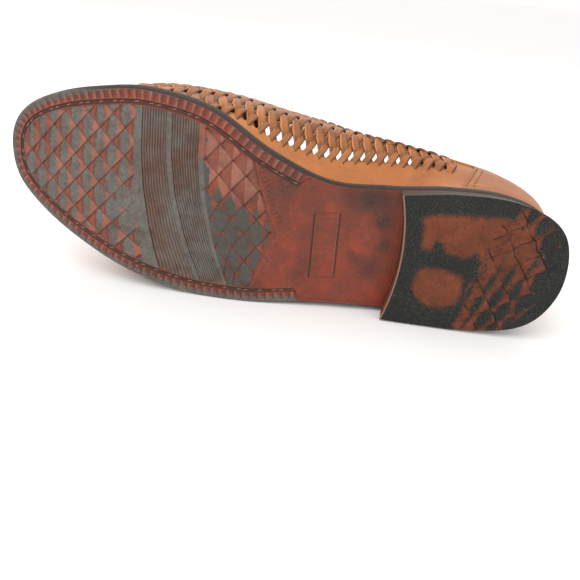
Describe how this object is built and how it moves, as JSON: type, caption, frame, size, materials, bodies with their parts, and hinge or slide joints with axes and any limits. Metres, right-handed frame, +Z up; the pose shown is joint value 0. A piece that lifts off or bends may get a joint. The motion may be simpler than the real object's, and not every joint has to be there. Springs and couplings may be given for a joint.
{
  "type": "slip-on shoe",
  "caption": "Right slip-on shoe with a woven leather upper, a moulded rubber sole with a stitched edge, and a low heel, lying empty on its lateral side",
  "frame": {"origin": "centre of the bounding box on the floor that the shoe lies on", "axes": "-X towards the toe, -Y out of the tread, +Z up towards the medial side"},
  "size_m": [0.3008, 0.088, 0.107],
  "materials": {
    "upper_leather": "worn satin tan leather",
    "edge_leather": "dark waxed edge",
    "sole_rubber": "red-brown moulded rubber, worn grey at the ball",
    "heel_rubber": "black rubber over red-brown, worn",
    "lining_leather": "soft natural leather"
  },
  "bodies": {
    "root": {"upper": "upper_leather", "back_counter": "upper_leather", "welt": "edge_leather", "outsole": "sole_rubber", "heel": "heel_rubber", "insole": "lining_leather"}
  },
  "joints": []
}
